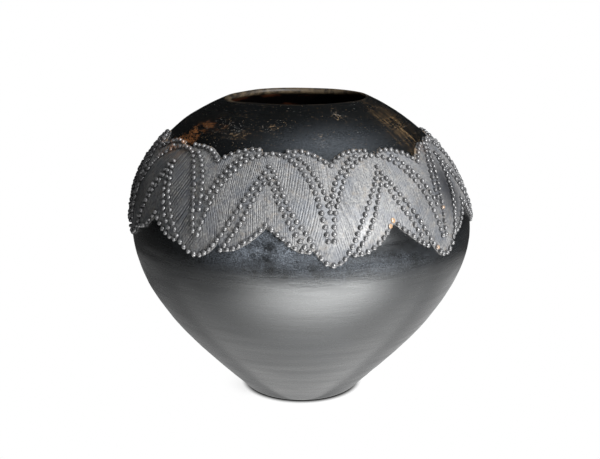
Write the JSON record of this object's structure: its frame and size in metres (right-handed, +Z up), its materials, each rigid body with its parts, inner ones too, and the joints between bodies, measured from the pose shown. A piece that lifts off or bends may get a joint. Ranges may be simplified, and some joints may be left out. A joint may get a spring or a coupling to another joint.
{
  "type": "earthenware pot",
  "caption": "Round burnished earthenware pot with a small mouth, and a shoulder band of applied clay set with rows of raised pellets and combed lines.",
  "frame": {"origin": "middle of the flat base, on the surface that the pot stands on", "axes": "+Z up along the pot's axis to its mouth, -Y towards the front of the picture"},
  "size_m": [0.3013, 0.302, 0.2616],
  "materials": {
    "pot_clay": "smoke-blackened and burnished, with a soft gloss",
    "band_clay": "matt, combed with fine grooves, worn pale at the edges",
    "pellet_clay": "satin, dark with rubbed tops"
  },
  "bodies": {
    "root": {"pot_body": "pot_clay", "relief_band": "band_clay", "arch_row_1": "pellet_clay", "arch_row_2": "pellet_clay", "arch_row_3": "pellet_clay", "arch_row_4": "pellet_clay", "arch_row_5": "pellet_clay", "arch_row_6": "pellet_clay", "arch_row_7": "pellet_clay", "arch_row_8": "pellet_clay", "arch_row_9": "pellet_clay", "swag_row_1": "pellet_clay", "swag_row_2": "pellet_clay", "swag_row_3": "pellet_clay", "swag_row_4": "pellet_clay", "swag_row_5": "pellet_clay", "swag_row_6": "pellet_clay", "swag_row_7": "pellet_clay", "swag_row_8": "pellet_clay", "swag_row_9": "pellet_clay", "upper_leaf_row_1": "pellet_clay", "upper_leaf_row_2": "pellet_clay", "upper_leaf_row_3": "pellet_clay", "upper_leaf_row_4": "pellet_clay", "upper_leaf_row_5": "pellet_clay", "upper_leaf_row_6": "pellet_clay", "upper_leaf_row_7": "pellet_clay", "upper_leaf_row_8": "pellet_clay", "upper_leaf_row_9": "pellet_clay", "lower_leaf_row_1": "pellet_clay", "lower_leaf_row_2": "pellet_clay", "lower_leaf_row_3": "pellet_clay", "lower_leaf_row_4": "pellet_clay", "lower_leaf_row_5": "pellet_clay", "lower_leaf_row_6": "pellet_clay", "lower_leaf_row_7": "pellet_clay", "lower_leaf_row_8": "pellet_clay", "lower_leaf_row_9": "pellet_clay"}
  },
  "joints": []
}
